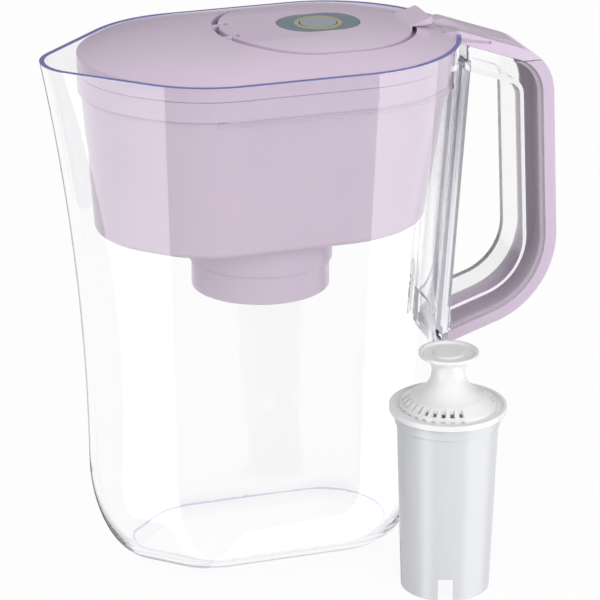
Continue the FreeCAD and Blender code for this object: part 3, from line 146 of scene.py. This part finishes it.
def fitted_normals(mesh, reach):
    """Set a curved wall's corner normals from a bowl fitted through the points within reach of each."""
    corner_vertex = np.zeros(len(mesh.loops), np.int32)
    mesh.loops.foreach_get("vertex_index", corner_vertex)
    corner_normal = np.array([n.vector for n in mesh.corner_normals])
    keys = np.column_stack([corner_vertex, np.round(corner_normal * NORMAL_STEPS)]).astype(np.int64)
    _, first, group = np.unique(keys, axis=0, return_index=True, return_inverse=True)
    vertices = np.array([v.co for v in mesh.vertices])
    points = vertices[corner_vertex[first]]
    normals = corner_normal[first]
    tree = KDTree(len(points))
    for index, point in enumerate(points):
        tree.insert(point, index)
    tree.balance()
    fitted = normals.copy()
    for index, (point, normal) in enumerate(zip(points, normals)):
        side = np.cross(normal, (0.0, 0.0, 1.0) if abs(normal[2]) < NEARLY_LEVEL else (1.0, 0.0, 0.0))
        side /= np.linalg.norm(side)
        along = np.cross(normal, side)
        for radius in (reach, reach / 2, reach / 4):
            near = np.array([found[1] for found in tree.find_range(point, radius)])
            near = near[normals[near] @ normal > SAME_SIDE]
            if len(near) < FEWEST_POINTS:
                continue
            offset = points[near] - point
            x, y, z = offset @ side / radius, offset @ along / radius, offset @ normal
            if min(x.max(), -x.min(), y.max(), -y.min()) < EDGE_SHARE:
                continue
            weight = CENTRE_WEIGHT - np.minimum(x * x + y * y, 1.0)
            terms = np.column_stack([np.ones_like(x), x, y, x * x, x * y, y * y])
            bowl = np.linalg.lstsq(terms * weight[:, None], z * weight, rcond=None)[0]
            tilted = normal - (bowl[1] * side + bowl[2] * along) / radius
            tilted /= np.linalg.norm(tilted)
            if np.abs(terms @ bowl - z).max() < FIT_ERROR and tilted @ normal > MOST_TILT:
                fitted[index] = tilted
                break
    mesh.normals_split_custom_set(fitted[group.ravel()])


nodes = frame["nodes"]
SAME_POINT = 0.001 * MM
SHARP_EDGE = math.radians(30)


def moulding(name, finish, reach_mm=0.0):
    """Stand a smooth-shaded copy of a piece in its place: triangles joined, corners kept, flats kept flat."""
    mesh = nodes[name].data.copy()
    joined = bmesh.new()
    joined.from_mesh(mesh)
    bmesh.ops.remove_doubles(joined, verts=joined.verts, dist=SAME_POINT)
    joined.to_mesh(mesh)
    joined.free()
    if "custom_normal" in mesh.attributes:
        mesh.attributes.remove(mesh.attributes["custom_normal"])
    mesh.shade_smooth()
    mesh.set_sharp_from_angle(angle=SHARP_EDGE)
    mesh.materials.clear()
    mesh.materials.append(finish)
    piece = bpy.data.objects.new(name + "_moulding", mesh)
    bpy.context.scene.collection.objects.link(piece)
    if reach_mm:
        fitted_normals(mesh, reach_mm * MM)
    else:
        even = piece.modifiers.new("even_normals", "WEIGHTED_NORMAL")
        even.keep_sharp = True
    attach(piece, nodes[name]["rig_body"])
    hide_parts(name)
    return piece


rim_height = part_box("pitcher_body")[1].z
# 8A88D0 is the rim's painted violet glow.
clear_styrene = clear_plastic("clear_styrene", "#FFFFFF", "#8A88D0", glow_height=rim_height, density=4.5)
jug = moulding("pitcher_body", clear_styrene, reach_mm=12.0)
jug.visible_shadow = False


# Foot bead: low ridge on the jug's floor, part of the jug's moulding, where the core's end plate meets the
# rounded foot. Its violet-grey is painted shade, for the shade line that the rounded foot shows in the clear
# styrene.
BEAD_HEIGHT = 6.0 * MM
BEAD_RADIUS = 0.55 * MM
BEAD_STEPS = 240
BEAD_SIDES = 10
SLIVER_POINTS = 20


def width(outline):
    """Reach of an outline along X."""
    return max(point.x for point in outline) - min(point.x for point in outline)


def inner_outline(piece, height):
    """Edge mesh of the narrowest closed outline that a level plane cuts from a piece, slivers left out."""
    cut = bmesh.new()
    cut.from_mesh(piece.data)
    whole = cut.verts[:] + cut.edges[:] + cut.faces[:]
    level = bmesh.ops.bisect_plane(cut, geom=whole, plane_co=(0, 0, height), plane_no=(0, 0, 1))["geom_cut"]
    links = {}
    for edge in (item for item in level if isinstance(item, bmesh.types.BMEdge)):
        for vertex in edge.verts:
            links.setdefault(vertex, []).append(edge.other_vert(vertex))
    outlines = []
    unused = dict.fromkeys(links)
    while unused:
        step = [next(iter(unused))]
        outline = []
        while step:
            outline.append(step[0])
            del unused[step[0]]
            step = [v for v in links[step[0]] if v in unused]
        outlines.append([vertex.co.copy() for vertex in outline])
    cut.free()
    inner = min((outline for outline in outlines if len(outline) > SLIVER_POINTS), key=width)
    ring = bpy.data.meshes.new("outline")
    ring.from_pydata(inner, [(i, (i + 1) % len(inner)) for i in range(len(inner))], [])
    return ring


def bead_tree(finish):
    """Geometry nodes that sweep a round bead along the edges of a mesh."""
    tree = bpy.data.node_groups.new("bead_along_outline", "GeometryNodeTree")
    tree.interface.new_socket("Geometry", in_out="INPUT", socket_type="NodeSocketGeometry")
    radius = tree.interface.new_socket("Bead radius", in_out="INPUT", socket_type="NodeSocketFloat")
    tree.interface.new_socket("Geometry", in_out="OUTPUT", socket_type="NodeSocketGeometry")
    entry = node(tree, "NodeGroupInput").outputs
    path = node(tree, "GeometryNodeMeshToCurve", {"Mesh": entry["Geometry"]})
    even = node(tree, "GeometryNodeResampleCurve", {"Curve": path.outputs["Curve"], "Count": BEAD_STEPS})
    ring = node(tree, "GeometryNodeCurvePrimitiveCircle", {
        "Resolution": BEAD_SIDES, "Radius": entry["Bead radius"]})
    bead = node(tree, "GeometryNodeCurveToMesh", {
        "Curve": even.outputs["Curve"], "Profile Curve": ring.outputs["Curve"]})
    real = node(tree, "GeometryNodeRealizeInstances", {"Geometry": bead.outputs["Mesh"]})
    dressed = node(tree, "GeometryNodeSetMaterial", {
        "Geometry": real.outputs["Geometry"], "Material": finish})
    node(tree, "NodeGroupOutput", {"Geometry": dressed.outputs["Geometry"]})
    return tree, radius.identifier


guide = bpy.data.objects.new("bead_guide", inner_outline(jug, BEAD_HEIGHT))
bpy.context.scene.collection.objects.link(guide)
sweep = guide.modifiers.new("bead", "NODES")
# The bead's violet-grey face colour is painted shade.
bead_painted_shade = clear_plastic("bead_painted_shade", "#DAD9EE", "#DAD9EE", glow_height=rim_height, density=6.0)
sweep.node_group, radius_input = bead_tree(bead_painted_shade)
sweep[radius_input] = BEAD_RADIUS
evaluated = guide.evaluated_get(bpy.context.evaluated_depsgraph_get())
foot_bead = bpy.data.objects.new("foot_bead", bpy.data.meshes.new_from_object(evaluated))
bpy.data.objects.remove(guide)
bpy.context.scene.collection.objects.link(foot_bead)
foot_bead.data.shade_smooth()
foot_bead.visible_shadow = False
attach(foot_bead, "pitcher")


# Handle frame: clear U-channel of the D-shaped handle, the same styrene as the jug.
# Its feet slide over the jug's rails and are welded there.
moulding("handle_frame", clear_styrene, reach_mm=6.0).visible_shadow = False


# Handle cover: lilac polypropylene shell that snaps over the open side of the frame.
# Moulded glossy: a very fine orange peel breaks the reflections a little.
PLASTIC_IOR = 1.49
FLOW_WIDTH = 40 * MM
PEEL_GLOSS = 0.006
PEEL_STRENGTH = 0.006
PEEL_DEPTH = 0.05 * MM


def moulded_plastic(name, pale, deep, roughness, peel_mm, edge_mm):
    """Opaque moulding: slow flow variation in the colour, fine peel in the gloss, softened edges."""
    material, tree = new_material(name)
    place = node(tree, "ShaderNodeTexCoord").outputs["Object"]
    flow = node(tree, "ShaderNodeTexNoise", {"Vector": place, "Scale": 1 / FLOW_WIDTH, "Detail": 2.0})
    tone = node(tree, "ShaderNodeMix", {
        "Factor": flow.outputs["Fac"], "A": colour(pale), "B": colour(deep)}, data_type="RGBA")
    peel = node(tree, "ShaderNodeTexNoise", {"Vector": place, "Scale": 1 / (peel_mm * MM), "Detail": 2.0})
    gloss = node(tree, "ShaderNodeMapRange", {
        "Value": peel.outputs["Fac"], "To Min": roughness - PEEL_GLOSS, "To Max": roughness + PEEL_GLOSS})
    soft_edge = node(tree, "ShaderNodeBevel", {"Radius": edge_mm * MM}, samples=4)
    bump = node(tree, "ShaderNodeBump", {
        "Height": peel.outputs["Fac"], "Strength": PEEL_STRENGTH, "Distance": PEEL_DEPTH,
        "Normal": soft_edge.outputs["Normal"]})
    shader = node(tree, "ShaderNodeBsdfPrincipled", {
        "Base Color": tone.outputs[2], "Roughness": gloss.outputs["Result"], "IOR": PLASTIC_IOR,
        "Normal": bump.outputs["Normal"]})
    node(tree, "ShaderNodeOutputMaterial", {"Surface": shader.outputs["BSDF"]})
    return material


# The cover's lilac is the hopper's lilac painted a little darker: painted shade for the stronger light it
# gets outside the clear wall.
cover_shaded_lilac = moulded_plastic(
    "cover_shaded_lilac", "#CBBACE", "#C5B4C9", roughness=0.22, peel_mm=1.5, edge_mm=0.6)
moulding("handle_cover", cover_shaded_lilac)


# Hopper: lilac bowl that hangs on the jug's ledge, with the sleeve of the filter under its floor.
# Polypropylene with the cover's gloss; the cover is this lilac with painted shade, so this one is a little
# paler.
lilac_polypropylene = moulded_plastic(
    "lilac_polypropylene", "#D6C4D8", "#CFBDD3", roughness=0.22, peel_mm=1.5, edge_mm=0.6)
moulding("reservoir", lilac_polypropylene, reach_mm=10.0)


# Lid: lilac cap with a skirt inside the rim and a tail that runs out over the handle.
# Polypropylene, pressed into the hopper's rim by hand.
moulding("lid", lilac_polypropylene)


# Refill flap: lilac oval with a thumb tab at the handle end and two pins at the spout end.
# Polypropylene; the pins snap into the ears of the lid.
moulding("refill_flap", lilac_polypropylene)


# Shell of the filter indicator: cup under the flap and the cover that closes it from below.
# Lilac polypropylene, welded to the flap. A gasket keeps the water out: soft moulded silicone, which looks
# dull and a little cloudy.
moulding("indicator_housing", lilac_polypropylene)
moulding("indicator_back_cover", lilac_polypropylene)
grey_silicone = moulded_plastic(
    "grey_silicone", "#9FA1A6", "#989AA0", roughness=0.6, peel_mm=0.6, edge_mm=0.1)
moulding("indicator_gasket", grey_silicone)


# Face of the filter indicator: oval plate and round button in glossy grey-blue styrene, and the ring between
# them that guides the light of the lamps, in acrylic with a frosted, softly shining face.
# They are pressed into the housing.
face_styrene = moulded_plastic(
    "grey_blue_styrene", "#788992", "#71828B", roughness=0.16, peel_mm=1.0, edge_mm=0.3)
moulding("indicator_plate", face_styrene)
button_styrene = moulded_plastic(
    "button_styrene", "#A0A9AE", "#98A2A7", roughness=0.2, peel_mm=1.0, edge_mm=0.4)
moulding("indicator_button", button_styrene)
frosted_acrylic = moulded_plastic(
    "frosted_acrylic", "#B4A986", "#AAA07D", roughness=0.35, peel_mm=0.8, edge_mm=0.3)
moulding("indicator_light_ring", frosted_acrylic)


# Works of the filter indicator: printed board with a snap dome, three lamps and a timer chip, and the
# coin cell in its spring clip. Satin green mask on glass-epoxy, dull black resin, glossy lenses, and
# nickel-plated steel that shines with a fine rolling grain.
solder_mask = moulded_plastic(
    "solder_mask", "#245A38", "#1F5132", roughness=0.4, peel_mm=0.8, edge_mm=0.1)
moulding("indicator_circuit_board", solder_mask)
chip_resin = moulded_plastic(
    "chip_resin", "#17171A", "#131316", roughness=0.5, peel_mm=0.4, edge_mm=0.1)
moulding("indicator_timer_chip", chip_resin)
lamp_lens = moulded_plastic(
    "lamp_lens", "#F1F0E4", "#EAE8DA", roughness=0.2, peel_mm=0.5, edge_mm=0.1)
moulding("indicator_leds", lamp_lens)

GRAIN_GLOSS = 0.06
GRAIN_STRENGTH = 0.05
GRAIN_DEPTH = 0.02 * MM


def plated_steel(name, pale, deep, roughness, grain_mm):
    """Bright nickel on steel: a fine rolling grain drawn coarse enough to show."""
    material, tree = new_material(name)
    place = node(tree, "ShaderNodeTexCoord").outputs["Object"]
    grain = node(tree, "ShaderNodeTexNoise", {"Vector": place, "Scale": 1 / (grain_mm * MM), "Detail": 2.0})
    tone = node(tree, "ShaderNodeMix", {
        "Factor": grain.outputs["Fac"], "A": colour(pale), "B": colour(deep)}, data_type="RGBA")
    gloss = node(tree, "ShaderNodeMapRange", {
        "Value": grain.outputs["Fac"], "To Min": roughness - GRAIN_GLOSS, "To Max": roughness + GRAIN_GLOSS})
    bump = node(tree, "ShaderNodeBump", {
        "Height": grain.outputs["Fac"], "Strength": GRAIN_STRENGTH, "Distance": GRAIN_DEPTH})
    shader = node(tree, "ShaderNodeBsdfPrincipled", {
        "Base Color": tone.outputs[2], "Metallic": 1.0, "Roughness": gloss.outputs["Result"],
        "Normal": bump.outputs["Normal"]})
    node(tree, "ShaderNodeOutputMaterial", {"Surface": shader.outputs["BSDF"]})
    return material


nickel_plate = plated_steel("nickel_plated_steel", "#C4C1BA", "#B3B1AB", roughness=0.28, grain_mm=0.5)
for name in ("indicator_dome_switch", "battery_clip", "indicator_battery"):
    moulding(name, nickel_plate)


# Filter cartridge: tapered cup with outlets in its foot, and the slotted cap with its pull knob.
# White polypropylene with a soft sheen; the cup is painted greyer than the cap, painted shade for its shaded
# sides. The cap is welded on over a silicone seal. Its pieces stay out of reflections, so that the jug's wall
# shows no second cartridge.
# The cup's grey is the cartridge's white with painted shade.
cup_shaded_white = moulded_plastic(
    "cup_shaded_white", "#D3D4D7", "#CECFD3", roughness=0.3, peel_mm=1.2, edge_mm=0.5)
cap_polypropylene = moulded_plastic(
    "cap_polypropylene", "#EDEDED", "#E8E8E9", roughness=0.3, peel_mm=1.2, edge_mm=0.5)
seal_silicone = moulded_plastic(
    "seal_silicone", "#C9CBCD", "#C3C5C8", roughness=0.6, peel_mm=0.6, edge_mm=0.1)
for name, finish in (("cartridge_cup", cup_shaded_white), ("cartridge_cap", cap_polypropylene),
                     ("cartridge_seal", seal_silicone)):
    moulding(name, finish).visible_glossy = False


# Filling of the cartridge: dull black granules of carbon and resin between two pale discs of woven mesh.
# The granules are packed at the works and the discs are welded to the cup.
woven_mesh = moulded_plastic(
    "woven_mesh", "#D9D9D6", "#CFCFCC", roughness=0.7, peel_mm=0.4, edge_mm=0.05)
for name in ("cartridge_lower_screen", "cartridge_upper_screen"):
    moulding(name, woven_mesh).visible_glossy = False
carbon_granules = moulded_plastic(
    "carbon_granules", "#2B2B2D", "#1D1D1F", roughness=0.8, peel_mm=0.8, edge_mm=0.05)
moulding("cartridge_media", carbon_granules).visible_glossy = False


# Floor: matte white paper sweep, laid flat under the object. Most of the white that the camera, glass and
# gloss see on it is its own, so only a faint shadow stays.
FLOOR_SIDE = 12.0
WHITE = "#FFFFFF"


def white_sweep(name, base, own_white):
    """Matte white that shows own_white of pure white where the camera, glass or gloss looks at it."""
    material, tree = new_material(name)
    path = node(tree, "ShaderNodeLightPath").outputs
    seen = node(tree, "ShaderNodeMath", {
        0: path["Is Camera Ray"], 1: path["Is Transmission Ray"]}, operation="MAXIMUM")
    shown = node(tree, "ShaderNodeMath", {
        0: seen.outputs[0], 1: path["Is Glossy Ray"]}, operation="MAXIMUM")
    share = node(tree, "ShaderNodeMath", {0: shown.outputs[0], 1: own_white}, operation="MULTIPLY")
    matte = node(tree, "ShaderNodeBsdfDiffuse", {"Color": colour(base)})
    white = node(tree, "ShaderNodeEmission", {"Color": colour(WHITE), "Strength": 1.0})
    both = node(tree, "ShaderNodeMixShader", {0: share.outputs[0], 1: matte.outputs[0], 2: white.outputs[0]})
    node(tree, "ShaderNodeOutputMaterial", {"Surface": both.outputs[0]})
    return material


bpy.ops.mesh.primitive_plane_add(size=FLOOR_SIDE)
floor = bpy.context.object
floor.name = "floor"
floor.data.materials.append(white_sweep("white_paper", "#FCFCFC", own_white=0.93))
floor.visible_glossy = False


# Studio that the gloss shows: below the horizon a white room with two soft boxes and one dark card, each from
# one azimuth and brightness to another, and above it a dim wall that brightens to the ceiling.
# Azimuths are degrees from +Y towards +X, and heights are sines of the elevation.
LEFT_BOX = (-122.0, 4.8, -98.0, 4.8)
DARK_CARD = (-8.0, 0.35, 14.0, 0.35)
RIGHT_BOX = (87.0, 2.8, 152.0, 4.8)
FRAME_WIDTH = 0.2
ROOM = 1.0
ROOM_TOP = -0.12
HORIZON_HEIGHT = 0.0
WALL_TOP = 0.25
CEILING_HEIGHT = 0.8
HORIZON = 0.2
CEILING = 0.9
DIFFUSE_ROOM = 0.68
world = bpy.data.worlds.new("studio")
bpy.context.scene.world = world
world.use_nodes = True
tree = world.node_tree
tree.nodes.clear()
path = node(tree, "ShaderNodeLightPath").outputs
seen = node(tree, "ShaderNodeMath", {
    0: path["Is Camera Ray"], 1: path["Is Transmission Ray"]}, operation="MAXIMUM")
sight = node(tree, "ShaderNodeTexCoord").outputs["Generated"]
direction = node(tree, "ShaderNodeSeparateXYZ", {0: sight}).outputs
azimuth = node(tree, "ShaderNodeMath", {0: direction["X"], 1: direction["Y"]}, operation="ARCTAN2")
turn = node(tree, "ShaderNodeMapRange", {
    "Value": azimuth.outputs[0], "From Min": -math.pi, "From Max": math.pi})
brightness = node(tree, "ShaderNodeValToRGB", {0: turn.outputs["Result"]})
turns = []
for start, start_level, end, end_level in (LEFT_BOX, DARK_CARD, RIGHT_BOX):
    turns += [(start - FRAME_WIDTH, ROOM), (start, start_level), (end, end_level), (end + FRAME_WIDTH, ROOM)]
stops = brightness.color_ramp.elements
for _ in turns[len(stops):]:
    stops.new(1.0)
for stop, (degrees, level) in zip(stops, turns):
    stop.position = (degrees + 180.0) / 360.0
    stop.color = (level, level, level, 1.0)
overhead = node(tree, "ShaderNodeMapRange", {
    "Value": direction["Z"], "From Min": WALL_TOP, "From Max": CEILING_HEIGHT,
    "To Min": HORIZON, "To Max": CEILING})
upward = node(tree, "ShaderNodeMapRange", {
    "Value": direction["Z"], "From Min": ROOM_TOP, "From Max": HORIZON_HEIGHT})
mirrored = node(tree, "ShaderNodeMix", {
    "Factor": upward.outputs["Result"], "A": brightness.outputs["Color"], "B": overhead.outputs["Result"]},
    data_type="RGBA")
lit = node(tree, "ShaderNodeMix", {
    "Factor": path["Is Glossy Ray"], "A": (DIFFUSE_ROOM,) * 3 + (1.0,), "B": mirrored.outputs[2]},
    data_type="RGBA")
shown = node(tree, "ShaderNodeMix", {
    "Factor": seen.outputs[0], "A": lit.outputs[2], "B": colour(WHITE)}, data_type="RGBA")
sky = node(tree, "ShaderNodeBackground", {"Color": shown.outputs[2], "Strength": 1.0})
node(tree, "ShaderNodeOutputWorld", {"Surface": sky.outputs[0]})


# Lamps: a large key from the camera's side and a weaker fill from above the spout, both soft and square.
# They aim at the middle of the jug.
LAMP_SIDE = 1.0
LAMP_AIM = (0, 0, 0.15)


def soft_box(name, place, power):
    """Square area lamp that lights the object and stays out of its reflections."""
    light = bpy.data.lights.new(name, "AREA")
    light.size = LAMP_SIDE
    light.energy = power
    lamp = bpy.data.objects.new(name, light)
    bpy.context.scene.collection.objects.link(lamp)
    lamp.location = place
    lamp.rotation_euler = (Vector(LAMP_AIM) - Vector(place)).to_track_quat("-Z", "Y").to_euler()
    lamp.visible_glossy = False
    lamp.visible_transmission = False


soft_box("key", place=(0.4, -1.9, 0.9), power=16.0)
soft_box("fill", place=(-1.2, -0.6, 1.4), power=4.0)


# Camera at the photograph's angle, from the spout side and above the rim, far off with a long lens.
# Light may cross the jug's and the handle's clear faces many times, or their edges would turn black.
CAMERA_AZIMUTH = math.radians(-18.33)
CAMERA_ELEVATION = math.radians(21.17)
CAMERA_DISTANCE = 1659.25 * MM
CAMERA_TARGET = Vector((25.09, 0.0, 129.55)) * MM
SENSOR_WIDTH = 36.0
LENS = 194.74
FARTHEST = 50.0
MOST_BOUNCES = 24
back = Vector((math.sin(CAMERA_AZIMUTH) * math.cos(CAMERA_ELEVATION),
               -math.cos(CAMERA_AZIMUTH) * math.cos(CAMERA_ELEVATION), math.sin(CAMERA_ELEVATION)))
camera_data = bpy.data.cameras.new("camera")
camera_data.sensor_width = SENSOR_WIDTH
camera_data.lens = LENS
camera_data.clip_end = FARTHEST
camera = bpy.data.objects.new("camera", camera_data)
bpy.context.scene.collection.objects.link(camera)
camera.location = CAMERA_TARGET + back * CAMERA_DISTANCE
camera.rotation_euler = back.to_track_quat("Z", "Y").to_euler()
scene = bpy.context.scene
scene.camera = camera
scene.view_settings.view_transform = "Standard"
scene.cycles.max_bounces = MOST_BOUNCES
scene.cycles.transmission_bounces = MOST_BOUNCES
scene.cycles.glossy_bounces = MOST_BOUNCES
scene.cycles.use_denoising = True
